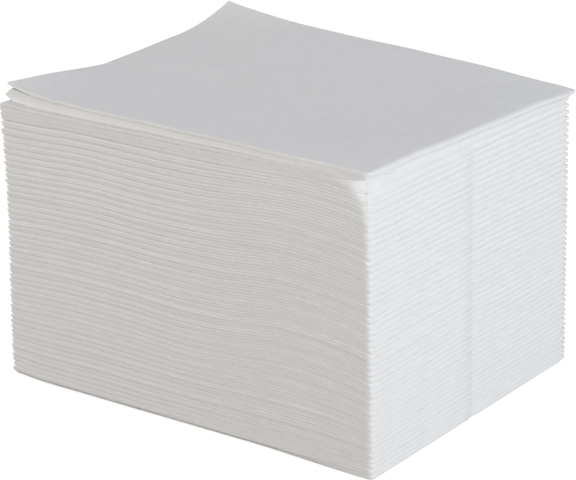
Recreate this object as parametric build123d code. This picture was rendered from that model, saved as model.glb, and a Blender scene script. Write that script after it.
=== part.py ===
from build123d import *
import os
from math import atan, cos, radians, sin

# Stack of folded airlaid wipes. Each wipe is one cut sheet: its two long edges are folded in
# until they nearly meet at the middle, and the strip is then folded once across, flaps inside.
# X runs along a folded wipe from its open end to its half fold, Y across it, Z up the stack.

# Cut sheet, before it is folded
sheet_length = 380.0
sheet_width = 300.0

# Stack: the lower a wipe lies, the harder it is pressed, and each lies a little off the last
wipe_count = 50
pressed_thickness = 2.20
loose_thickness = 2.74
edge_scatter = 0.12
scatter_turn = 137.5

# Folds of one wipe, their rounds made of a few flats
half_fold_bulge = 0.70
half_fold_flat_count = 6
gate_fold_bulge = 0.30
gate_fold_flat_count = 3
ply_slit = 0.08
flap_gap = 3.0

# Groove that the half fold shows where the two flap edges leave its middle thin
groove_width = 5.0
groove_depth = 0.45

# Uppermost wipe: it lies turned over the middle of the frame, and the others a little off it, so
# that it overhangs them. Its open end curls up on both sides of the middle line: late and short to
# the left, over most of its length to the back. The halves under it follow, each by a smaller share
top_turn = -1.0
top_overhang_x = 1.3
top_overhang_y = 1.7
flat_at_fold = 4.0
curl_left = 9.4
curl_left_power = 2.0
curl_middle = 3.8
curl_back = 16.0
curl_back_power = 0.85
curl_carried_share = 0.45
curled_count = 3
curl_stations = 5

# Sizes that follow from the folds
wipe_length = sheet_length / 2
wipe_depth = sheet_width / 2
open_end = -wipe_length / 2
fold_end = wipe_length / 2
fold_side = wipe_depth / 2
side_straight = fold_side - gate_fold_bulge
curl_start = fold_end - flat_at_fold
curl_length = curl_start - open_end


def wipe_thickness(number):
    """Folded thickness of a wipe, counted from the bottom of the stack."""
    share = (number - 1) / (wipe_count - 1)
    return pressed_thickness + (loose_thickness - pressed_thickness) * share


def half_thickness(thickness):
    """Two plies and the slit between them: half of a folded wipe."""
    return (thickness - ply_slit) / 2


def fold_points(out, low, high, bulge, flats):
    """A shallow round from (out, low) to (out, high) that stands bulge further out, in equal turns."""
    half_chord = (high - low) / 2
    half_turn = 2 * atan(bulge / half_chord)
    radius = half_chord / sin(half_turn)
    turns = [half_turn * (2 * step / flats - 1) for step in range(flats + 1)]
    centre = out - radius * cos(half_turn)
    middle = (low + high) / 2
    return [(centre + radius * cos(turn), middle + radius * sin(turn)) for turn in turns]


def mirrored(points):
    """The same outline on the other side of the middle line, run the other way."""
    return [(-across, up) for across, up in reversed(points)]


def side_profile(thickness):
    """The half fold seen along Y: two halves, the slit between them and the round fold at +X."""
    half = half_thickness(thickness)
    slit_end = fold_end - thickness / 2
    fold = fold_points(fold_end - half_fold_bulge, 0, thickness, half_fold_bulge, half_fold_flat_count)
    upper = [(open_end, thickness), (open_end, thickness - half), (slit_end, thickness - half)]
    lower = [(slit_end, half), (open_end, half), (open_end, 0)]
    return make_face(Plane.XZ * Polyline(*fold, *upper, *lower, close=True))


def end_profile(thickness):
    """The gate folds seen along X: each half of the wipe ends in a round fold on both sides."""
    half = half_thickness(thickness)
    lower = fold_points(side_straight, 0, half, gate_fold_bulge, gate_fold_flat_count)
    upper = fold_points(side_straight, thickness - half, thickness, gate_fold_bulge, gate_fold_flat_count)
    right = lower + upper
    return make_face(Plane.YZ * Polyline(*right, *mirrored(right), close=True))


def ply_spaces(thickness):
    """The slits between each half's two plies, and the channel between the flap edges."""
    half = half_thickness(thickness)
    run = fold_end - thickness / 2 - open_end
    place = Pos(open_end + run / 2, 0, thickness / 2)
    ply_rise = (thickness - half) / 2
    slit = Box(run, wipe_depth - half, ply_slit)
    channel = Box(run, flap_gap, 2 * ply_rise)
    return [place * Pos(0, 0, ply_rise) * slit, place * Pos(0, 0, -ply_rise) * slit, place * channel]


def fold_groove(thickness):
    """A shallow upright groove across the middle of the half fold."""
    tip = (fold_end - groove_depth, 0)
    wide = [(fold_end, -groove_width / 2), (fold_end, groove_width / 2)]
    return extrude(make_face(Polyline(tip, *wide, close=True)), thickness)


def flat_wipe(thickness):
    """One folded wipe lying on Z = 0, open end at -X and half fold at +X."""
    across = extrude(side_profile(thickness), fold_side, both=True)
    along = extrude(end_profile(thickness), fold_end, both=True)
    wipe = across & along
    for space in ply_spaces(thickness):
        wipe -= space
    return wipe - fold_groove(thickness)


def curl_rise(along, across):
    """How far the open end of the uppermost layer has curled up at a place on the wipe."""
    share = (curl_start - along) / curl_length
    side = min(abs(across), side_straight) / side_straight
    corner, power = (curl_left, curl_left_power) if across < 0 else (curl_back, curl_back_power)
    return curl_middle * share**2 + (corner - curl_middle) * side * share**power


def half_outline(half):
    """Section of one half wipe across X, flaps down: a ply, two gate folds and two flaps."""
    fold = fold_points(side_straight, 0, half, gate_fold_bulge, gate_fold_flat_count)
    slit_low = (half - ply_slit) / 2
    slit_high = (half + ply_slit) / 2
    slit_side = (wipe_depth - half) / 2
    flap_edge = [(slit_side, slit_low), (flap_gap / 2, slit_low), (flap_gap / 2, 0)]
    right = [(slit_side, slit_high), *flap_edge, *fold]
    return [(0, slit_high), *right, (0, half), *mirrored(right)]


def curled_half(thickness, share, flaps_down):
    """The curling stretch of one half wipe, carried up through a few sections."""
    half = half_thickness(thickness)
    sections = []
    for station in range(curl_stations):
        along = curl_start - curl_length * station / (curl_stations - 1)
        points = []
        for across, up in half_outline(half):
            level = thickness - half + up if flaps_down else half - up
            points.append((along, across, level + share * curl_rise(along, across)))
        sections.append(make_face(Polyline(*points, close=True)))
    return loft(sections)


def curled_wipe(thickness, upper_share, lower_share):
    """A folded wipe whose open end curls up, each half by its own share."""
    room = Pos(curl_start - curl_length / 2, 0, thickness / 2)
    wipe = flat_wipe(thickness) - room * Box(curl_length, wipe_depth, thickness)
    upper = curled_half(thickness, upper_share, True)
    lower = curled_half(thickness, lower_share, False)
    return wipe + upper + lower


def wipe_shape(number):
    """The wipe at one place in the stack: flat, or curling in the uppermost few."""
    thickness = wipe_thickness(number)
    above = wipe_count - number
    if above < curled_count:
        return curled_wipe(thickness, curl_carried_share ** (2 * above), curl_carried_share ** (2 * above + 1))
    return flat_wipe(thickness)


def wipe_place(number):
    """Where a wipe lies: on all those under it, the uppermost turned and the others off the middle."""
    level = sum(wipe_thickness(below) for below in range(1, number))
    if number == wipe_count:
        return Pos(0, 0, level) * Rot(0, 0, top_turn)
    turn = radians(scatter_turn * number)
    return Pos(edge_scatter * cos(turn) - top_overhang_x, edge_scatter * sin(turn) - top_overhang_y, level)


os.makedirs("parts", exist_ok=True)
for number in range(1, wipe_count + 1):
    wipe = wipe_place(number) * wipe_shape(number)
    export_step(wipe, f"parts/wipe_{number:02d}.step")
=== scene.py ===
"""Stack of folded airlaid wipes: each wipe is one folded sheet of cloth, dressed, lit and set before a
camera.

Lengths are metres. X runs along a wipe from its open end to its half fold, Y across it, Z up the stack.
Every cloth is a surface of two parameters: one runs along the sheet, from the upper open end round the
half fold to the lower open end, the other across it, from flap to gate fold, base, gate fold and flap.
"""

import logging
import math
from dataclasses import dataclass, replace
from enum import Enum

import bpy
import numpy as np
from mathutils import Matrix, Vector


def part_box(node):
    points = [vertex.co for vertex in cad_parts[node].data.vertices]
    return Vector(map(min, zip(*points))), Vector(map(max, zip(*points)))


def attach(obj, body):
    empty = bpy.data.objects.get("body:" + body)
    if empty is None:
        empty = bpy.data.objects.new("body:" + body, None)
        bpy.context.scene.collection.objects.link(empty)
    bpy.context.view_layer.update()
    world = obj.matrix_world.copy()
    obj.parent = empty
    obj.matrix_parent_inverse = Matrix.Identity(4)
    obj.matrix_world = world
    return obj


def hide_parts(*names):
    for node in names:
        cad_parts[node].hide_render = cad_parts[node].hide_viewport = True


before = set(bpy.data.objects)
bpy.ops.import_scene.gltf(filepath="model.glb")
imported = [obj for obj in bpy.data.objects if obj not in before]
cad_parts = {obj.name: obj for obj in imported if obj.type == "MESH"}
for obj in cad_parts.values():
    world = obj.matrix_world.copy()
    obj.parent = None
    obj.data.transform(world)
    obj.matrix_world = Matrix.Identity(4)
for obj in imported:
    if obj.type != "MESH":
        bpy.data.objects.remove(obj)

Grid = np.ndarray
Socket = bpy.types.NodeSocket
Span = tuple[float, float]
Tree = bpy.types.NodeTree
Triple = tuple[float, float, float]

MM = 0.001
WHITE = (1.0, 1.0, 1.0, 1.0)
LOG = logging.getLogger("wipe_stack")


class Half(Enum):
    """The two halves of a folded wipe, by their side of its middle plane."""

    UPPER = 1.0
    LOWER = -1.0


class Face(Enum):
    """The two faces of the cloth: the one left outside by the folds and the one folded in."""

    SHOWN = 1.0
    HIDDEN = -1.0


class Chance(Enum):
    """What a wipe's own draws of chance are for, each with a salt for its seed."""

    UPPER_PLACE = 11
    LOWER_PLACE = 12
    NOSE_STEP = 31


class Operation(Enum):
    """What a math node does with its two inputs."""

    ADD = "ADD"
    MULTIPLY = "MULTIPLY"
    MAXIMUM = "MAXIMUM"


def smooth_step(low: float, high: float, value: Grid | float) -> Grid:
    """A soft step from 0 at low to 1 at high: 3 s squared less 2 s cubed, with s the clipped share."""
    share = np.clip((np.asarray(value) - low) / (high - low), 0.0, 1.0)
    return share * share * (3.0 - 2.0 * share)


def bell(value: Grid, centre: float, spread: Grid | float) -> Grid:
    """A soft bump that is 1 at its centre: e to the minus squared distance in spreads."""
    return np.exp(-(((value - centre) / spread) ** 2))


def direction(bearing: float, height_angle: float) -> Vector:
    """The way from the stack to a lamp or camera: bearing from -Y towards +X, then up, in degrees."""
    turn, up = math.radians(bearing), math.radians(height_angle)
    return Vector((math.sin(turn) * math.cos(up), -math.cos(turn) * math.cos(up), math.sin(up)))


def combined(tree: Tree, operation: Operation, first: Socket, second: Socket | float) -> Socket:
    """Puts a math node into a tree.

    Args:
        tree: The nodes and links of a material, world or group.
        operation: What the node does.
        first: Its first input.
        second: Its second input, or a constant.

    Returns:
        The node's result.
    """
    node = tree.nodes.new("ShaderNodeMath")
    node.operation = operation.value
    tree.links.new(first, node.inputs[0])
    if isinstance(second, float):
        node.inputs[1].default_value = second
    else:
        tree.links.new(second, node.inputs[1])
    return node.outputs[0]


@dataclass(frozen=True)
class Ripples:
    """Smooth unevenness: waves of many lengths and headings added up, the same on every run."""

    seed: int
    height: float
    shortest: float
    longest: float
    layer_run: float = 45 * MM
    count: int = 12

    def of_wipe(self, number: int, offset: int) -> "Ripples":
        """The same kind of unevenness for one wipe: its seed is this one times its number, plus an offset."""
        return replace(self, seed=self.seed * number + offset)

    def at(self, x: Grid, y: Grid, z: Grid | float = 0.0) -> Grid:
        """The sum of sines of place times rate plus phase, scaled to a root mean square of height.

        Args:
            x: Places along the wipe.
            y: Places across it.
            z: Height in the stack, with which the waves change slowly.

        Returns:
            The unevenness at each place, in the unit of its height.
        """
        draw = np.random.default_rng(self.seed)
        length = self.shortest * (self.longest / self.shortest) ** draw.random(self.count)
        heading = draw.random(self.count) * math.tau
        phase = draw.random(self.count) * math.tau
        climb = draw.uniform(-1.0, 1.0, self.count) * math.tau / self.layer_run
        rate = math.tau / length
        x, y, z = np.broadcast_arrays(x, y, z)
        turn = x[..., None] * (rate * np.cos(heading)) + y[..., None] * (rate * np.sin(heading))
        waves = np.sin(turn + z[..., None] * climb + phase)
        return self.height * math.sqrt(2.0 / self.count) * waves.sum(axis=-1)


@dataclass(frozen=True)
class LayerRelief:
    """How the layers inside the stack rise and dip, which shows as waves on its sides."""

    centre: Vector
    half_depth: float
    half_length: float
    open_hump: float = 1.9 * MM
    open_hump_back: float = 45 * MM
    open_hump_spread: float = 38 * MM
    fold_hump: float = 3.6 * MM
    fold_hump_back: float = 40 * MM
    fold_hump_spread: float = 32 * MM
    corner_droop: float = 1.6 * MM
    corner_droop_reach: float = 9 * MM
    side_reach: float = 45 * MM
    middle_share: float = 0.35
    pressed_height: float = 45 * MM
    ease_start: float = 98 * MM
    ease_end: float = 116 * MM
    ease: float = 0.3
    free_start: float = 118.1 * MM
    free_end: float = 120.7 * MM
    foot_lift: float = 0.9 * MM
    foot_lift_run: float = 9 * MM
    foot_lift_height: float = 25 * MM
    unevenness: Ripples = Ripples(seed=3, height=0.12 * MM, shortest=35 * MM, longest=140 * MM)

    def rise(self, x: Grid, y: Grid, z: float) -> Grid:
        """Height of a layer above its flat level.

        Two humps less a droop, most along the sides, are added to unevenness and a lift at the foot.

        Args:
            x: Places along the stack.
            y: Places across it.
            z: Flat level of the layer, which sets how much of the relief it takes.

        Returns:
            The rise at each place, in metres.
        """
        along, across = x - self.centre.x, y - self.centre.y
        open_place = self.open_hump_back - self.half_length
        fold_place = self.half_length - self.fold_hump_back
        humps = self.open_hump * bell(along, open_place, self.open_hump_spread)
        humps = humps + self.fold_hump * bell(along, fold_place, self.fold_hump_spread)
        humps = humps - self.corner_droop * bell(along, self.half_length, self.corner_droop_reach)
        side = bell(self.half_depth - np.abs(across), 0.0, self.side_reach)
        taken = smooth_step(0.0, self.pressed_height, z)
        taken = taken * (1.0 - self.ease * smooth_step(self.ease_start, self.ease_end, z))
        taken = taken * (1.0 - smooth_step(self.free_start, self.free_end, z))
        uneven = self.unevenness.at(along, across, z) * smooth_step(0.0, self.pressed_height / 2, z)
        foot = self.foot_lift * (1.0 - smooth_step(0.0, self.foot_lift_height, z))
        lifted = foot * bell(along, -self.half_length, self.foot_lift_run)
        return taken * humps * (self.middle_share + (1.0 - self.middle_share) * side) + uneven + lifted


@dataclass(frozen=True)
class TopCurl:
    """How the uppermost wipe stands off the stack: loose all over, its open end curled up on both sides.

    The lift has one profile along the left edge, one along the valley and one along the back edge, each a
    function of the way from the open end, and is blended between them across the wipe.
    """

    half_length: float
    half_depth: float
    centre: Vector
    turn: float
    loose_rise: float = 0.1 * MM
    puff: float = 2.2 * MM
    puff_hold: float = 50 * MM
    valley_rise: float = 3.6 * MM
    valley_power: float = 1.7
    valley_place: float = -15 * MM
    left_rise: float = 4.6 * MM
    left_tip: float = 5.0 * MM
    left_tip_run: float = 12 * MM
    back_rise: float = 11.7 * MM
    back_power: float = 0.8
    back_ear: float = 3.4 * MM
    back_ear_run: float = 45 * MM
    back_ear_start: float = 36 * MM
    back_ear_power: float = 1.6
    back_tip: float = 4.3 * MM
    back_tip_run: float = 22 * MM
    nose_swell: float = 0.5 * MM
    nose_swell_reach: float = 30 * MM
    tip_opening: float = 3.6 * MM
    tip_opening_run: float = 4 * MM
    overrun: float = 1.05
    puff_shares: tuple[float, ...] = (1.0, 1.0, 0.75, 0.55, 0.4, 0.28, 0.18, 0.1, 0.05)
    left_shares: tuple[float, ...] = (1.0, 0.36, 0.18, 0.09, 0.04)
    back_shares: tuple[float, ...] = (1.0, 0.55, 0.14, 0.02)

    @staticmethod
    def share(shares: tuple[float, ...], layer: int) -> float:
        """The share of a lift that a layer follows, counted from the top, and none below the last."""
        return shares[layer] if layer < len(shares) else 0.0

    def own_places(self, x: Grid, y: Grid) -> tuple[Grid, Grid]:
        """Places in the stack seen from the uppermost wipe, turned with it about its middle.

        Args:
            x: Places along the stack.
            y: Places across it.

        Returns:
            Places along and across the wipe.
        """
        ahead, aside = x - self.centre.x, y - self.centre.y
        along = ahead * math.cos(self.turn) + aside * math.sin(self.turn)
        across = aside * math.cos(self.turn) - ahead * math.sin(self.turn)
        return along, across

    def way(self, across: Grid, start: float, edge: float) -> Grid:
        """Share of the way across from a start to an edge, cut off a little past the edge."""
        return np.clip((across - start) / (edge - start), 0.0, self.overrun)

    def opening(self, x: Grid, y: Grid) -> Grid:
        """How far the two halves of the uppermost wipe part at the tip of the left edge.

        Args:
            x: Places along the stack.
            y: Places across it.

        Returns:
            The distance at each place, in metres.
        """
        along, across = self.own_places(x, y)
        from_end = np.maximum(along + self.half_length, 0.0)
        to_left = self.way(across, self.valley_place, -self.half_depth)
        return self.tip_opening * np.exp(-from_end / self.tip_opening_run) * to_left

    def rise(self, x: Grid, y: Grid, layer: int) -> Grid:
        """Lift of one layer: a puff along the left edge, a valley, and a climb from it to either side.

        Args:
            x: Places along the stack.
            y: Places across it.
            layer: How many wipes lie above the layer, 0 being the top of the stack.

        Returns:
            The lift at each place, in metres.
        """
        puff_share, left_share, back_share = (self.share(shares, layer) for shares in
                                              (self.puff_shares, self.left_shares, self.back_shares))
        if puff_share == 0.0:
            return np.zeros(np.broadcast(x, y).shape)
        along, across = self.own_places(x, y)
        from_end = np.maximum(along + self.half_length, 0.0)
        open_share = np.clip(1.0 - from_end / (2.0 * self.half_length), 0.0, 1.0)
        to_left = self.way(across, self.valley_place, -self.half_depth)
        to_back = self.way(across, self.valley_place, self.half_depth)
        to_ear = self.way(across, self.back_ear_start, self.half_depth)
        valley = self.valley_rise * open_share**self.valley_power
        left = self.left_rise * open_share + self.left_tip * np.exp(-from_end / self.left_tip_run) - valley
        ear = self.back_ear * np.exp(-from_end / self.back_ear_run)
        tip = self.back_tip * np.exp(-from_end / self.back_tip_run)
        back = (self.back_rise * open_share**self.back_power - ear - valley) * to_back
        back = back + (ear + tip) * to_ear**self.back_ear_power
        nose = bell(along, self.half_length, self.nose_swell_reach) * (1.0 - (across / self.half_depth) ** 2)
        front = self.loose_rise + valley + left * to_left + self.nose_swell * nose
        puff = self.puff * np.clip((1.0 - across / self.half_depth) / 2, 0.0, 1.0)
        if layer > 0:
            front = front - self.opening(x, y)
        if layer > 1:
            puff = puff * (1.0 - smooth_step(0.0, self.puff_hold, along))
        return puff_share * puff + left_share * front + back_share * back


@dataclass(frozen=True)
class Folds:
    """Sizes of a wipe's folds, corners and cut edges."""

    ply_slit: float = 0.03 * MM
    flap_gap: float = 3.0 * MM
    gate_bulge: float = 0.37 * MM
    gate_nose_share: float = 0.38
    gate_nose_run: Span = (0.1, 0.6)
    gate_puff: float = 0.28
    gate_paired: float = 0.85
    gate_paired_run: Span = (0.15, 0.6)
    gate_sprung: Span = (0.2 * MM, 2.0 * MM)
    gate_seat: float = 0.15
    gate_slant: float = 0.0
    gate_slant_run: Span = (0.05, 0.4)
    hidden_bulge: float = 0.02 * MM
    nose_over: float = 0.24 * MM
    nose_under: float = 0.24 * MM
    nose_over_power: float = 1.7
    nose_under_power: float = 1.7
    nose_peak: float = 0.5
    nose_edge: float = 0.0
    nose_edge_back: Span = (0.4, 1.0)
    nose_edge_front: Span = (0.8, 1.0)
    nose_edge_front_share: float = 0.6
    nose_lean: float = 0.2
    nose_step: float = 0.12
    nose_step_run: float = 4 * MM
    nose_limits: Span = (0.4, 1.8)
    nose_thick_limit: float = 1.3
    corner_fade: float = 0.0
    corner_fade_reach: float = 14 * MM
    corner_overrun: float = 1.2
    groove_depth: float = 0.55 * MM
    groove_fade: float = 0.5
    groove_place: float = -0.9 * MM
    groove_spread: Span = (3.4 * MM, 1.1 * MM)
    end_stagger: float = 0.7 * MM
    upper_peak: float = 1.2 * MM
    lower_peak: float = 0.6 * MM
    front_corner: Triple = (2.3 * MM, 1.7 * MM, 2.3 * MM)
    back_corner: Triple = (5.5 * MM, 0.7 * MM, 5.5 * MM)
    lower_end_inset: float = 0.0
    end_skew: float = 0.0
    foot_inset: float = 0.0
    foot_inset_top: float = 0.12
    foot_inset_run: Span = (0.02, 0.35)

    def gate_growth(self, share: Grid) -> Grid:
        """Share of a gate fold's bulge along the wipe: least at the half fold, full towards the open end."""
        return self.gate_nose_share + (1.0 - self.gate_nose_share) * smooth_step(*self.gate_nose_run, share)

    def gate_profile(self, turn: Grid, share: Grid, spread: Grid) -> Grid:
        """How far a gate fold stands out, as a share of its bulge.

        Towards the open end the two halves of a wipe press into one round, a parabola over the whole wipe;
        towards the half fold each half has a parabola of its own. A fold that has sprung open stands upright
        from the flap down and is seated square on its base.

        Args:
            turn: Turn about the fold, 0 on the base and pi on the flap.
            share: Share of the way from the half fold to the open end.
            spread: How far the fold has sprung open.

        Returns:
            The share of the bulge at each place.
        """
        down = (1.0 - np.cos(turn)) / 2
        paired = 1.0 - (1.0 - down) ** 2
        single = 4.0 * down * (1.0 - down)
        pairing = self.gate_paired * smooth_step(*self.gate_paired_run, share)
        closed = paired * pairing + single * (1.0 - pairing)
        sprung = np.where(turn < math.pi / 2, np.maximum(single, 0.0) ** (self.gate_seat / 2), 1.0)
        opened = smooth_step(*self.gate_sprung, spread)
        return closed * (1.0 - opened) + sprung * opened

    def nose_bulge(self, height: Grid) -> Grid:
        """How far the half fold stands out from the straight line between its two runs.

        From its furthest point the fold draws back to the upper run by a power of the way up, and to the
        lower run by a power of the way down.

        Args:
            height: Share of the way from the lower run to the upper one.

        Returns:
            The way out at each height, in metres.
        """
        up = np.maximum(height - self.nose_peak, 0.0) / (1.0 - self.nose_peak)
        down = np.maximum(self.nose_peak - height, 0.0) / self.nose_peak
        drawn = self.nose_over * up**self.nose_over_power + self.nose_under * down**self.nose_under_power
        return self.nose_over * height + self.nose_under * (1.0 - height) - drawn

    def edge_hold(self, place: Grid) -> Grid:
        """How far the upper run keeps its length at the ends of the half fold, by a soft step at each."""
        back, front = smooth_step(*self.nose_edge_back, place), smooth_step(*self.nose_edge_front, -place)
        return self.nose_edge * (back + self.nose_edge_front_share * front)

    def foot_drawn(self, level: Grid, share: Grid) -> Grid:
        """How far a front edge is drawn in: most on the lower face, least on the upper, none at the fold."""
        left = (1.0 + self.foot_inset_top - (1.0 - self.foot_inset_top) * level) / 2
        return self.foot_inset * left * smooth_step(*self.foot_inset_run, share)

    def groove(self, across: Grid) -> Grid:
        """Share of the groove's depth across the half fold: a long slope in front, a short one behind."""
        front, back = self.groove_spread
        return bell(across, self.groove_place, np.where(across < self.groove_place, front, back))

    def corner_radius(self, across: Grid, level: Grid) -> Grid:
        """Radius in plan of a corner at the half fold.

        Args:
            across: Places across the wipe, whose sign tells the front corner from the back one.
            level: Places between the wipe's faces, 1 on the upper one and -1 on the lower.

        Returns:
            The radius at each place.
        """
        up, down = np.maximum(level, 0.0), np.maximum(-level, 0.0)
        front, back = (middle + (above - middle) * up + (below - middle) * down
                       for above, middle, below in (self.front_corner, self.back_corner))
        return np.where(across < 0.0, front, back)


@dataclass(frozen=True)
class Stations:
    """How finely a cloth is divided along and across: closest at its corners and at the groove."""

    straight: int = 24
    corner: int = 5
    nose: int = 8
    middle: int = 10
    base: int = 4
    gate: int = 6
    flap: int = 4
    flap_power: float = 0.6
    corner_run: float = 6 * MM
    middle_run: float = 9 * MM

    def along(self, run: float) -> Grid:
        """The stations along a straight run: even near the half fold, then halfway between even and eased.

        Args:
            run: Length of the run.

        Returns:
            Shares of the way from the half fold to the open end.
        """
        near = np.linspace(0.0, self.corner_run, self.corner + 1)
        even = np.linspace(0.0, 1.0, self.straight + 1)[1:]
        eased = (even + (1.0 - np.cos(math.pi * even)) / 2) / 2
        return np.concatenate([near, self.corner_run + (run - self.corner_run) * eased]) / run

    def nose_turns(self) -> Grid:
        """Turns round the half fold between its two straight runs."""
        return np.linspace(0.0, math.pi, self.nose + 1)[1:-1]

    def across(self, half_width: float) -> tuple[Grid, Grid, Grid]:
        """The stations across the sheet, from one flap edge to the other.

        Args:
            half_width: Half the folded wipe's depth.

        Returns:
            The side of each station (-1 or 1), its share of the way out from the middle line (flaps) or
            of the base's half width, and its turn about the gate fold: 0 on the base, pi on a flap.
        """
        flap = np.linspace(0.0, 1.0, self.flap + 1) ** self.flap_power
        turn = np.linspace(math.pi, 0.0, self.gate + 1)[1:-1]
        edge = half_width - self.corner_run
        half_base = np.concatenate([np.linspace(0.0, self.middle_run, self.middle + 1),
                                    np.linspace(self.middle_run, edge, self.base + 1)[1:],
                                    np.linspace(edge, half_width, self.corner + 1)[1:]]) / half_width
        base = np.concatenate([-half_base[:0:-1], half_base])
        side = np.concatenate([-np.ones(flap.size + turn.size), np.where(base < 0, -1.0, 1.0),
                               np.ones(turn.size + flap.size)])
        out = np.concatenate([flap, np.ones(turn.size), np.abs(base), np.ones(turn.size), flap[::-1]])
        turned = np.concatenate([np.full(flap.size, math.pi), turn, np.zeros(base.size), turn[::-1],
                                 np.full(flap.size, math.pi)])
        return side, out, turned


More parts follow.
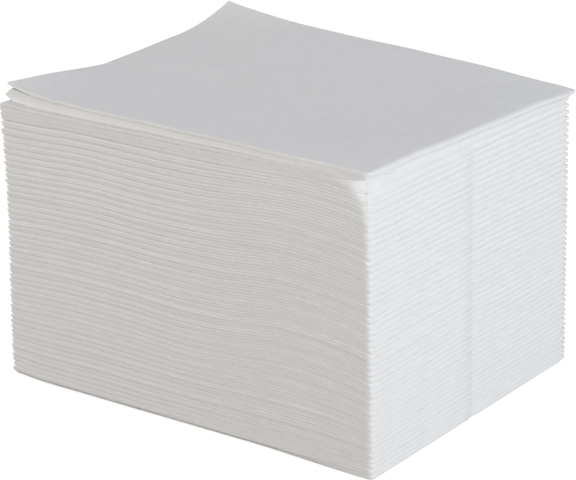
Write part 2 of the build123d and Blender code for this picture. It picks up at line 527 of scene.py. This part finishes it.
@dataclass
class FoldedWipe:
    """One wipe: a sheet gate-folded along both long edges, then folded once across, flaps inside."""

    number: int
    above: int
    level: float
    thickness: float
    centre: Vector
    turn: float
    length: float
    depth: float
    end_shift: float
    seam_under: float
    seam_over: float
    looseness: float
    relief: LayerRelief
    curl: TopCurl
    folds: Folds
    stations: Stations
    flat_size: Span = (300 * MM, 380 * MM)
    place_scatter: float = 0.08 * MM
    end_scatter: float = 0.12 * MM
    edge_waves: Ripples = Ripples(seed=7, height=0.05 * MM, shortest=25 * MM, longest=120 * MM)
    nose_waves: Ripples = Ripples(seed=5, height=0.14, shortest=25 * MM, longest=110 * MM)
    sharp_angle: float = math.radians(55)
    seed_step: int = 1000

    @property
    def node(self) -> str:
        """Name of the solid that this cloth stands for."""
        return f"wipe_{self.number:02d}"

    @property
    def name(self) -> str:
        """Name of the cloth itself."""
        return f"folded_wipe_{self.number:02d}"

    @property
    def ply(self) -> float:
        """Thickness of the cloth: a quarter of the folded wipe, less the slit beside it."""
        return self.thickness / 4 - self.folds.ply_slit

    def chance(self, use: Chance) -> np.random.Generator:
        """A source of chance of this wipe's own, the same on every run."""
        return np.random.default_rng(self.seed_step * self.number + use.value)

    def placed(self, along: Grid, across: Grid, level: Grid) -> tuple[Grid, Grid]:
        """Points of the folded wipe, set in the stack: corners rounded, then turned and moved to its middle.

        A corner of the half fold is a square patch drawn onto a quarter disc: each side's way out is cut by
        the square root of one less half the other side's squared share.

        Args:
            along: Places along the wipe from its middle.
            across: Places across it.
            level: Places between the wipe's faces, 1 on the upper one and -1 on the lower.

        Returns:
            The places along and across the stack.
        """
        corner = self.folds.corner_radius(across, level)
        limit = self.folds.corner_overrun
        ahead = np.clip((along - self.length / 2 + corner) / corner, 0.0, limit)
        aside = np.clip((np.abs(across) - self.depth / 2 + corner) / corner, 0.0, limit)
        along = along - corner * ahead * (1.0 - np.sqrt(1.0 - aside**2 / 2))
        across = across - np.sign(across) * corner * aside * (1.0 - np.sqrt(1.0 - ahead**2 / 2))
        return (self.centre.x + along * math.cos(self.turn) - across * math.sin(self.turn),
                self.centre.y + along * math.sin(self.turn) + across * math.cos(self.turn))

    def ply_levels(self, x: Grid, y: Grid, half: Half) -> tuple[Grid, Grid]:
        """Heights of the middles of one half's two plies.

        Three of the plies lie close under the layer over the wipe and the fourth on the layer under it, so
        that any room to spare opens the lower half's folds. Where there is less room the four share it.

        Args:
            x: Places along the stack.
            y: Places across it.
            half: Which half.

        Returns:
            The height of the base ply and of the flap ply.
        """
        top = self.level + self.thickness
        under = self.level + self.relief.rise(x, y, self.level) + self.curl.rise(x, y, self.above + 1)
        over = top + self.relief.rise(x, y, top) + self.curl.rise(x, y, self.above)
        step = np.minimum(over - under, self.thickness) / 4
        if half is Half.UPPER:
            return over - 0.5 * step, over - 1.5 * step
        parted = self.curl.opening(x, y) if self.above == 0 else 0.0
        return under + 0.5 * step, over - 2.5 * step - parted

    def half_along(self, half: Half, end_place: float) -> Grid:
        """Places along the wipe of one half, on straight lines from the half fold to the open end.

        A line starts short of the fold by what the fold's bulge and groove take. At the open end the base
        stops short of the flaps, and the gate folds stand out in a point.

        Args:
            half: Which half.
            end_place: How far chance moves the open end.

        Returns:
            The places, as a grid of stations along by stations across.
        """
        folds = self.folds
        side, out, turn = self.stations.across(self.depth / 2)
        place = side * out
        drawn, inset, peak = folds.nose_under, folds.lower_end_inset, folds.lower_peak
        if half is Half.UPPER:
            drawn, inset, peak = folds.nose_over * (1.0 - folds.edge_hold(place)), 0.0, folds.upper_peak
        nose = self.length / 2 - drawn - folds.groove_depth * folds.groove(place * self.depth / 2)
        end = end_place - self.length / 2 - self.end_shift + inset + folds.end_skew * (1.0 - place) / 2
        end = end + folds.end_stagger * (1.0 + np.cos(turn)) / 2 - peak * (1.0 - np.abs(np.cos(turn)))
        return nose - (nose - end) * self.stations.along(self.length)[:, None]

    def half_plan(self, half: Half, face: Face) -> tuple[Grid, Grid, Grid]:
        """One face of one half seen from above, before its corners are rounded.

        Across the sheet each half is a flat base, two gate folds and two flaps: the way out is the side's
        straight run plus the fold's bulge times its profile.

        Args:
            half: Which half.
            face: Which face of the cloth.

        Returns:
            Places along and across the wipe and between its faces, as grids of stations along by stations
            across.
        """
        folds = self.folds
        use, seam, slant = Chance.LOWER_PLACE, self.seam_under, 0.0
        if half is Half.UPPER:
            use, seam, slant = Chance.UPPER_PLACE, self.seam_over, folds.gate_slant
        draw = self.chance(use)
        side, out, turn = self.stations.across(self.depth / 2)
        share = self.stations.along(self.length)[:, None]
        along = self.half_along(half, draw.normal(0.0, self.end_scatter))
        to_base = (1.0 + np.cos(turn)) / 2
        level = half.value * to_base
        front_place, back_place = draw.normal(0.0, self.place_scatter, 2)
        waves = self.edge_waves.of_wipe(self.number, offset=int(half.value))
        edge = self.depth / 2 + waves.at(along, side * self.depth / 2)
        edge = edge + np.where(side < 0, front_place - folds.foot_drawn(level, share), back_place)
        base, flap = self.ply_levels(*self.placed(along, side * self.depth / 2, level), half)
        spread = np.maximum(np.abs(base - flap) - self.thickness / 4, 0.0)
        bulge = folds.gate_bulge * folds.gate_growth(share) * self.looseness + folds.gate_puff * spread
        slant = slant * (1.0 - smooth_step(*folds.gate_slant_run, share))
        straight = edge - bulge - slant * to_base
        stand_out = bulge if face is Face.SHOWN else np.maximum(bulge - self.ply, folds.hidden_bulge)
        flap_edge = folds.flap_gap / 2
        flat = np.where(turn == 0.0, out * straight, flap_edge + (straight - flap_edge) * out)
        profile = seam * (turn < math.pi) + (1.0 - seam) * folds.gate_profile(turn, share, spread)
        across = side * (flat + stand_out * profile * (out == 1.0))
        return tuple(np.broadcast_arrays(along, across, level))

    def half_heights(self, half: Half, face: Face, x: Grid, y: Grid) -> Grid:
        """Heights of one face of one half: the middle of its plies plus half their distance times a cosine.

        Args:
            half: Which half.
            face: Which face of the cloth.
            x: Places along the stack.
            y: Places across it.

        Returns:
            The height of each point.
        """
        turn = self.stations.across(self.depth / 2)[2]
        base, flap = self.ply_levels(x, y, half)
        gap = np.abs(base - flap) / 2 + face.value * self.ply / 2
        return (base + flap) / 2 + half.value * gap * np.cos(turn)

    def surface(self, face: Face) -> Grid:
        """One whole face of the cloth, from the upper open end round the half fold to the lower one.

        Round the half fold each line of the sheet swings by the cosine of the turn from the upper run to the
        lower, and stands out by the fold's bulge, the more the thicker the wipe is there.

        Args:
            face: Which face of the cloth.

        Returns:
            Points as an array of stations along, stations across and 3.
        """
        runs, plans = {}, {}
        for half in Half:
            along, across, level = plans[half] = self.half_plan(half, face)
            x, y = self.placed(along, across, level)
            runs[half] = np.stack([x, y, self.half_heights(half, face, x, y)], axis=-1)
        upper, lower = (tuple(grid[0] for grid in plans[half]) for half in Half)
        tops, bottoms = (runs[half][0, :, 2] for half in Half)
        turn = self.stations.nose_turns()[:, None]
        blend = (1.0 + np.cos(turn)) / 2
        across = upper[1] * blend + lower[1] * (1.0 - blend)
        thick = np.minimum((tops - bottoms) / self.thickness, self.folds.nose_thick_limit)
        bulge = self.folds.nose_bulge(blend) * self.nose_fullness(across) * thick
        along = upper[0] * blend + lower[0] * (1.0 - blend) + bulge
        x, y = self.placed(along, across, upper[2] * np.cos(turn))
        nose = np.stack([x, y, tops * blend + bottoms * (1.0 - blend)], axis=-1)
        return np.concatenate([runs[Half.UPPER][::-1], nose, runs[Half.LOWER]])

    def nose_fullness(self, across: Grid) -> Grid:
        """Share of its bulge that the half fold has along its length.

        A slow wander and a step at the groove are added to the wipe's looseness. The sum is faded at the
        groove and at the front corner, and leans from end to end.

        Args:
            across: Places across the wipe.

        Returns:
            The share at each place.
        """
        folds = self.folds
        wander = self.nose_waves.of_wipe(self.number, offset=2).at(0.0, across)
        step = self.chance(Chance.NOSE_STEP).normal(0.0, folds.nose_step)
        full = self.looseness + wander + step * np.tanh(across / folds.nose_step_run)
        fade = 1.0 - folds.groove_fade * folds.groove(across)
        fade = fade * (1.0 - folds.corner_fade * bell(across, -self.depth / 2, folds.corner_fade_reach))
        lean = 1.0 + folds.nose_lean * across / (self.depth / 2)
        return np.clip(full, *folds.nose_limits) * fade * lean

    def mesh(self) -> bpy.types.Mesh:
        """The cloth as a closed mesh: both faces as grids, and its four cut edges as strips.

        Returns:
            The mesh, with the cut edges on the second material.
        """
        shown, hidden = self.surface(Face.SHOWN), self.surface(Face.HIDDEN)
        rows, columns = shown.shape[:2]
        index = np.arange(rows * columns).reshape(rows, columns)
        grid = np.stack([index[:-1, :-1], index[1:, :-1], index[1:, 1:], index[:-1, 1:]], axis=-1)
        grid = grid.reshape(-1, 4)
        around = np.concatenate([index[:-1, 0], index[-1, :-1], index[:0:-1, -1], index[0, :0:-1]])
        follow = np.roll(around, -1)
        lift = rows * columns
        rim = np.stack([follow, around, around + lift, follow + lift], axis=-1)
        quads = np.concatenate([grid, grid[:, ::-1] + lift, rim])
        points = np.concatenate([shown.reshape(-1, 3), hidden.reshape(-1, 3)])
        mesh = bpy.data.meshes.new(self.name)
        mesh.from_pydata(points, [], quads.tolist())
        mesh.polygons.foreach_set("use_smooth", np.ones(len(quads), dtype=bool))
        finish = np.zeros(len(quads), dtype=np.int32)
        finish[2 * len(grid):] = 1
        mesh.polygons.foreach_set("material_index", finish)
        mesh.set_sharp_from_angle(angle=self.sharp_angle)
        mesh.update()
        return mesh

    def build(self, finishes: list[bpy.types.Material]) -> bpy.types.Object:
        """Makes the cloth, dresses it and sets it in the frame in place of its solid.

        Args:
            finishes: The cloth's finish and the finish of its cut edges.

        Returns:
            The finished piece.
        """
        piece = bpy.data.objects.new(self.name, self.mesh())
        for finish in finishes:
            piece.data.materials.append(finish)
        bpy.context.scene.collection.objects.link(piece)
        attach(piece, "root")
        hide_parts(self.node)
        return piece


@dataclass
class WipeStack:
    """The whole stack, its wipes taken in order from the frame."""

    nodes: list[str]
    length: float = 190 * MM
    depth: float = 150 * MM
    top_turn: float = math.radians(-1.0)
    plain_folds: Folds = Folds()
    lowest_folds: Folds = Folds(gate_bulge=0.08 * MM, foot_inset=2.5 * MM)
    top_folds: Folds = Folds(
        gate_bulge=0.25 * MM, gate_slant=0.8 * MM, nose_over=1.2 * MM, nose_under=0.5 * MM,
        nose_over_power=2.0, nose_under_power=1.2, nose_peak=0.6, nose_edge=0.85, groove_depth=0.0,
        groove_fade=0.3, front_corner=(2.6 * MM, 3.4 * MM, 3.6 * MM),
        back_corner=(0.4 * MM, 5.0 * MM, 11.0 * MM), lower_end_inset=2.0 * MM, end_skew=2.3 * MM,
        upper_peak=0.5 * MM, lower_peak=4.0 * MM)
    foot_out: float = 1.3 * MM
    lowest_end_inset: float = 0.4 * MM
    end_lean: float = 3.4 * MM
    lean_height: float = 0.75
    top_out: float = 0.6 * MM
    top_end_inset: float = 0.8 * MM
    top_seam: float = 0.8
    seam_spread: float = 0.25
    seam_seed: int = 5
    corner_round: float = 12.0 * MM
    corner_round_wipes: float = 1.6
    corner_fade: float = 0.9
    foot_looseness: float = 0.54
    top_looseness: float = 1.2
    aim_height: float = 59.7 * MM
    top_stations: Stations = Stations(straight=70, corner=6, nose=10, middle=5, base=18, gate=12, flap=12)

    def middle(self) -> Vector:
        """The point that lamps and camera aim at, over the middle of the lowest wipe."""
        low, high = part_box(self.nodes[0])
        return Vector(((low.x + high.x) / 2, (low.y + high.y) / 2, self.aim_height))

    def folds_of(self, above: int, below: int) -> Folds:
        """The folds of one wipe, rounder at the front corner by an exponential of the wipes above it.

        Args:
            above: How many wipes lie above it.
            below: How many lie below it.

        Returns:
            The sizes of its folds.
        """
        if above == 0:
            return self.top_folds
        if below == 0:
            return self.lowest_folds
        # A face takes its radius half way to the next wipe, so that two faces that touch have the same
        faces = (max(above - 0.5, 1.0), above, above + 0.5)
        rounder = (self.corner_round * math.exp((1 - face) / self.corner_round_wipes) for face in faces)
        corner = tuple(plain + more for plain, more in zip(self.plain_folds.front_corner, rounder))
        fade = self.corner_fade * math.exp((1 - above) / (2 * self.corner_round_wipes))
        return replace(self.plain_folds, front_corner=corner, corner_fade=fade)

    def end_shift(self, above: int, height_share: float) -> float:
        """How far a wipe's open end stands out: at the foot, then leaning in, and out again near the top.

        Args:
            above: How many wipes lie above it.
            height_share: Its level as a share of the stack's height.

        Returns:
            The distance, in metres.
        """
        if above == 0:
            return -self.top_end_inset
        lean = self.foot_out - self.end_lean * smooth_step(0.0, self.lean_height, height_share)
        lean = lean - (self.lowest_end_inset if height_share == 0.0 else 0.0)
        return float(lean + self.top_out * smooth_step(self.lean_height, 1.0, height_share))

    def seams(self, count: int) -> Grid:
        """How far each joint between two layers is closed: by chance, but most under the two uppermost wipes.

        Args:
            count: How many wipes there are.

        Returns:
            The share of each joint, from the one on the floor up.
        """
        closed = np.random.default_rng(self.seam_seed).uniform(0.0, self.seam_spread, count + 1)
        closed[-3:-1] = self.top_seam
        return closed

    def wipes(self) -> list[FoldedWipe]:
        """Every wipe, its level, thickness and middle read from the solids' boxes.

        Returns:
            The wipes from the bottom up.
        """
        boxes = [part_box(node) for node in self.nodes]
        levels = [low.z for low, _ in boxes]
        levels.append(2 * levels[-1] - levels[-2])
        middles = [(low + high) / 2 for low, high in boxes]
        half_sizes = {"half_length": self.length / 2, "half_depth": self.depth / 2}
        relief = LayerRelief(centre=middles[0], **half_sizes)
        curl = TopCurl(centre=middles[-1], turn=self.top_turn, **half_sizes)
        seams = self.seams(len(middles))
        made = []
        for below, middle in enumerate(middles):
            above = len(middles) - 1 - below
            height_share = levels[below] / levels[-1]
            looser = (self.top_looseness - self.foot_looseness) * height_share
            made.append(FoldedWipe(
                number=below + 1, above=above, level=levels[below],
                thickness=levels[below + 1] - levels[below],
                centre=middle, turn=self.top_turn if above == 0 else 0.0,
                length=self.length, depth=self.depth, end_shift=self.end_shift(above, height_share),
                seam_under=seams[below], seam_over=seams[below + 1], looseness=self.foot_looseness + looser,
                relief=relief, curl=curl, folds=self.folds_of(above, below),
                stations=self.top_stations if above == 0 else Stations()))
        return made


class FibreWeb:
    """The look that cloth and cut edges share: a node group of cloudy formation and fine fibre grain."""

    NAME = "fibre_web"
    CLOUDS = {"Detail": 5.0, "Roughness": 0.62}
    CLOUD_RANGE = (0.3, 0.7)
    FIBRES = {"Detail": 3.0, "Distortion": 1.4}
    TUFTS = {"Detail": 2.0}
    TUFT_SCALE = 0.3

    @classmethod
    def group(cls) -> Tree:
        """Builds the group once.

        Inputs are two colours and the scales of clouds and fibres. The clouds mix the colours. The fibres,
        noise stretched by its own warp, and the coarser tufts add up to a height for a bump.

        Returns:
            The node group.
        """
        if cls.NAME in bpy.data.node_groups:
            return bpy.data.node_groups[cls.NAME]
        tree = bpy.data.node_groups.new(cls.NAME, "ShaderNodeTree")
        for label, kind in (("Thin Colour", "NodeSocketColor"), ("Dense Colour", "NodeSocketColor"),
                            ("Cloud Scale", "NodeSocketFloat"), ("Fibre Scale", "NodeSocketFloat")):
            tree.interface.new_socket(label, in_out="INPUT", socket_type=kind)
        for label, kind in (("Colour", "NodeSocketColor"), ("Height", "NodeSocketFloat")):
            tree.interface.new_socket(label, in_out="OUTPUT", socket_type=kind)
        nodes, links = tree.nodes, tree.links
        inlet, outlet = nodes.new("NodeGroupInput"), nodes.new("NodeGroupOutput")
        place = nodes.new("ShaderNodeTexCoord")
        clouds, fibres, tufts = (nodes.new("ShaderNodeTexNoise") for _ in range(3))
        for texture, values in ((clouds, cls.CLOUDS), (fibres, cls.FIBRES), (tufts, cls.TUFTS)):
            links.new(place.outputs["Object"], texture.inputs["Vector"])
            for label, value in values.items():
                texture.inputs[label].default_value = value
        fibre_scale = inlet.outputs["Fibre Scale"]
        links.new(inlet.outputs["Cloud Scale"], clouds.inputs["Scale"])
        links.new(fibre_scale, fibres.inputs["Scale"])
        links.new(combined(tree, Operation.MULTIPLY, fibre_scale, cls.TUFT_SCALE), tufts.inputs["Scale"])
        spread = nodes.new("ShaderNodeMapRange")
        spread.inputs["From Min"].default_value, spread.inputs["From Max"].default_value = cls.CLOUD_RANGE
        links.new(clouds.outputs["Fac"], spread.inputs["Value"])
        mix = nodes.new("ShaderNodeMix")
        mix.data_type = "RGBA"
        links.new(spread.outputs["Result"], mix.inputs["Factor"])
        links.new(inlet.outputs["Thin Colour"], mix.inputs["A"])
        links.new(inlet.outputs["Dense Colour"], mix.inputs["B"])
        height = combined(tree, Operation.ADD, fibres.outputs["Fac"], tufts.outputs["Fac"])
        links.new(mix.outputs["Result"], outlet.inputs["Colour"])
        links.new(height, outlet.inputs["Height"])
        return tree


@dataclass(frozen=True)
class PaintedShadeStrip:
    """Painted shade: the strip of the half folds that no flap backs is painted darker, in place of the shade
    of the groove there and of the light that goes through the single ply.
    """

    # Colour of the painted shade, a little darker than the cloth.
    colour: Triple = (0.785, 0.785, 0.775)
    front: Span = (-12.5 * MM, -5.5 * MM)
    back: Span = (-4.2 * MM, -1.6 * MM)
    reach: Span = (91 * MM, 92.3 * MM)
    top: Span = (112 * MM, 121 * MM)

    def shade(self, tree: Tree, colour: Socket) -> Socket:
        """Mixes the painted shade's colour into a finish, by the product of four soft steps over the object.

        Args:
            tree: The material's nodes and links.
            colour: The finish's own colour.

        Returns:
            The mixed colour.
        """
        nodes, links = tree.nodes, tree.links
        place, axes = nodes.new("ShaderNodeTexCoord"), nodes.new("ShaderNodeSeparateXYZ")
        links.new(place.outputs["Object"], axes.inputs["Vector"])
        mask = 1.0
        for axis, span, ends in (("Y", self.front, (0.0, 1.0)), ("Y", self.back, (1.0, 0.0)),
                                 ("X", self.reach, (0.0, 1.0)), ("Z", self.top, (1.0, 0.0))):
            step = nodes.new("ShaderNodeMapRange")
            step.interpolation_type = "SMOOTHSTEP"
            for label, value in zip(("From Min", "From Max", "To Min", "To Max"), (*span, *ends)):
                step.inputs[label].default_value = value
            links.new(axes.outputs[axis], step.inputs["Value"])
            mask = combined(tree, Operation.MULTIPLY, step.outputs["Result"], mask)
        # Painted shade: the strip's darker colour is mixed in by the product of the steps.
        mix = nodes.new("ShaderNodeMix")
        mix.data_type = "RGBA"
        mix.inputs["B"].default_value = (*self.colour, 1.0)
        links.new(mask, mix.inputs["Factor"])
        links.new(colour, mix.inputs["A"])
        return mix.outputs["Result"]


@dataclass(frozen=True)
class AirlaidFinish:
    """White airlaid nonwoven: matt, a little cloudy, with a fine nap of short fibres."""

    name: str
    thin: Triple
    dense: Triple
    cloud_scale: float
    fibre_scale: float
    nap: float
    nap_strength: float
    roughness: float = 0.92
    gloss: float = 0.2
    sheen: float = 0.15
    # A strip of painted shade at the half folds, if the finish has one.
    painted_shade_strip: PaintedShadeStrip | None = None

    def material(self) -> bpy.types.Material:
        """The finish as a material.

        Returns:
            A material whose colour and bump come from the fibre web, with the painted shade strip mixed into
            the colour where the finish has one.
        """
        material = bpy.data.materials.new(self.name)
        material.use_nodes = True
        nodes, links = material.node_tree.nodes, material.node_tree.links
        shader = nodes["Principled BSDF"]
        shader.inputs["Roughness"].default_value = self.roughness
        shader.inputs["Specular IOR Level"].default_value = self.gloss
        shader.inputs["Sheen Weight"].default_value = self.sheen
        web = nodes.new("ShaderNodeGroup")
        web.node_tree = FibreWeb.group()
        web.inputs["Thin Colour"].default_value = (*self.thin, 1.0)
        web.inputs["Dense Colour"].default_value = (*self.dense, 1.0)
        web.inputs["Cloud Scale"].default_value = self.cloud_scale
        web.inputs["Fibre Scale"].default_value = self.fibre_scale
        bump = nodes.new("ShaderNodeBump")
        bump.inputs["Strength"].default_value = self.nap_strength
        bump.inputs["Distance"].default_value = self.nap
        colour = web.outputs["Colour"]
        if self.painted_shade_strip:
            colour = self.painted_shade_strip.shade(material.node_tree, colour)
        links.new(colour, shader.inputs["Base Color"])
        links.new(web.outputs["Height"], bump.inputs["Height"])
        links.new(bump.outputs["Normal"], shader.inputs["Normal"])
        return material


# The cloth's colour carries the strip of painted shade at the half folds.
CLOTH = AirlaidFinish(name="airlaid_cloth", thin=(0.815, 0.815, 0.81), dense=(0.84, 0.84, 0.835),
                      cloud_scale=130.0, fibre_scale=1100.0, nap=0.35 * MM, nap_strength=0.6,
                      painted_shade_strip=PaintedShadeStrip())
CUT_EDGE = AirlaidFinish(name="airlaid_cut_edge", thin=(0.76, 0.755, 0.74), dense=(0.82, 0.815, 0.80),
                         cloud_scale=400.0, fibre_scale=2200.0, nap=0.15 * MM, nap_strength=0.5)


@dataclass(frozen=True)
class Lamp:
    """One soft lamp, by where it stands from the stack's middle."""

    name: str
    bearing: float
    height_angle: float
    distance: float
    size: float
    power: float
    colour: Triple

    def build(self, target: Vector) -> None:
        """Hangs the lamp and turns it to the target.

        Args:
            target: Where it points.
        """
        data = bpy.data.lights.new(self.name, "AREA")
        data.shape = "DISK"
        data.size = self.size
        data.energy = self.power
        data.color = self.colour
        lamp = bpy.data.objects.new(self.name, data)
        away = direction(self.bearing, self.height_angle)
        lamp.location = target + away * self.distance
        lamp.rotation_euler = away.to_track_quat("Z", "Y").to_euler()
        bpy.context.scene.collection.objects.link(lamp)


@dataclass(frozen=True)
class Studio:
    """White table and surroundings, three soft lamps and the camera."""

    target: Vector
    frame_width: int = 576
    focal_pixels: float = 2179.4
    sensor: float = 36.0
    bearing: float = 37.23
    height_angle: float = 19.2
    roll: float = -1.51
    distance: float = 941.9 * MM
    aim_side: float = -0.19 * MM
    floor_half: float = 4.0
    floor_colour: Triple = (0.28, 0.28, 0.28)
    floor_white: float = 0.88
    sky: Triple = (0.945, 0.955, 1.0)
    sky_strength: float = 0.37
    lamps: tuple[Lamp, ...] = (
        Lamp(name="key_right", bearing=83.0, height_angle=6.0, distance=1.3, size=0.9, power=14.9,
             colour=(0.955, 0.975, 1.0)),
        Lamp(name="fill_left", bearing=-18.0, height_angle=18.0, distance=1.4, size=0.9, power=7.8,
             colour=(1.0, 0.935, 0.85)),
        Lamp(name="top_back", bearing=215.0, height_angle=30.0, distance=2.6, size=1.7, power=15.0,
             colour=(0.88, 0.93, 1.0)),
    )

    def seen_directly(self, tree: Tree) -> Socket:
        """A mask that is 1 where the camera, a mirror or glass looks straight at a surface.

        Args:
            tree: The nodes and links of the surface's material or of the world.

        Returns:
            The mask.
        """
        path = tree.nodes.new("ShaderNodeLightPath")
        rays = [path.outputs[f"Is {kind} Ray"] for kind in ("Camera", "Glossy", "Transmission")]
        return combined(tree, Operation.MAXIMUM, combined(tree, Operation.MAXIMUM, rays[0], rays[1]), rays[2])

    def world(self) -> None:
        """A soft even sky that lights the stack and looks plain white."""
        world = bpy.data.worlds.new("studio_sky")
        world.use_nodes = True
        nodes, links = world.node_tree.nodes, world.node_tree.links
        light = nodes["Background"]
        light.inputs["Color"].default_value = (*self.sky, 1.0)
        light.inputs["Strength"].default_value = self.sky_strength
        white = nodes.new("ShaderNodeBackground")
        white.inputs["Color"].default_value = WHITE
        mix = nodes.new("ShaderNodeMixShader")
        links.new(self.seen_directly(world.node_tree), mix.inputs["Fac"])
        links.new(light.outputs[0], mix.inputs[1])
        links.new(white.outputs[0], mix.inputs[2])
        links.new(mix.outputs[0], nodes["World Output"].inputs["Surface"])
        bpy.context.scene.world = world

    def floor(self) -> None:
        """A matt pale table, lifted to white where it is seen, that keeps the stack's shadow."""
        half = self.floor_half
        mesh = bpy.data.meshes.new("table")
        corners = [(-half, -half, 0), (half, -half, 0), (half, half, 0), (-half, half, 0)]
        mesh.from_pydata(corners, [], [(0, 1, 2, 3)])
        material = bpy.data.materials.new("pale_table")
        material.use_nodes = True
        tree = material.node_tree
        shader = tree.nodes["Principled BSDF"]
        shader.inputs["Base Color"].default_value = (*self.floor_colour, 1.0)
        shader.inputs["Roughness"].default_value = 1.0
        shader.inputs["Specular IOR Level"].default_value = 0.0
        shader.inputs["Emission Color"].default_value = WHITE
        lift = combined(tree, Operation.MULTIPLY, self.seen_directly(tree), self.floor_white)
        tree.links.new(lift, shader.inputs["Emission Strength"])
        mesh.materials.append(material)
        table = bpy.data.objects.new("table", mesh)
        bpy.context.scene.collection.objects.link(table)

    def camera(self) -> None:
        """A long lens that looks a little down on the corner between the fold edges and the half folds."""
        back = direction(self.bearing, self.height_angle)
        right = Vector((0.0, 0.0, 1.0)).cross(back).normalized()
        over = back.cross(right)
        turn = math.radians(self.roll)
        side = right * math.cos(turn) + over * math.sin(turn)
        top = over * math.cos(turn) - right * math.sin(turn)
        data = bpy.data.cameras.new("camera")
        data.sensor_fit = "HORIZONTAL"
        data.sensor_width = self.sensor
        data.lens = self.focal_pixels * self.sensor / self.frame_width
        camera = bpy.data.objects.new("camera", data)
        matrix = Matrix((side, top, back)).transposed().to_4x4()
        matrix.translation = self.target + back * self.distance + side * self.aim_side
        camera.matrix_world = matrix
        bpy.context.scene.collection.objects.link(camera)
        bpy.context.scene.camera = camera

    def build(self) -> None:
        """Sets up the table, the light and the camera."""
        self.floor()
        self.world()
        for lamp in self.lamps:
            lamp.build(self.target)
        self.camera()
        bpy.context.scene.view_settings.view_transform = "Standard"


def main() -> None:
    """Builds the stack piece by piece, then the studio round it."""
    logging.basicConfig(level=logging.INFO, format="%(message)s")
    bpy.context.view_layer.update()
    finishes = [CLOTH.material(), CUT_EDGE.material()]
    stack = WipeStack(nodes=sorted(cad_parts))
    for wipe in stack.wipes():
        piece = wipe.build(finishes)
        LOG.info("%s: %d faces, %.2f mm thick", piece.name, len(piece.data.polygons), wipe.thickness / MM)
    Studio(target=stack.middle()).build()


if __name__ == "__main__":
    main()
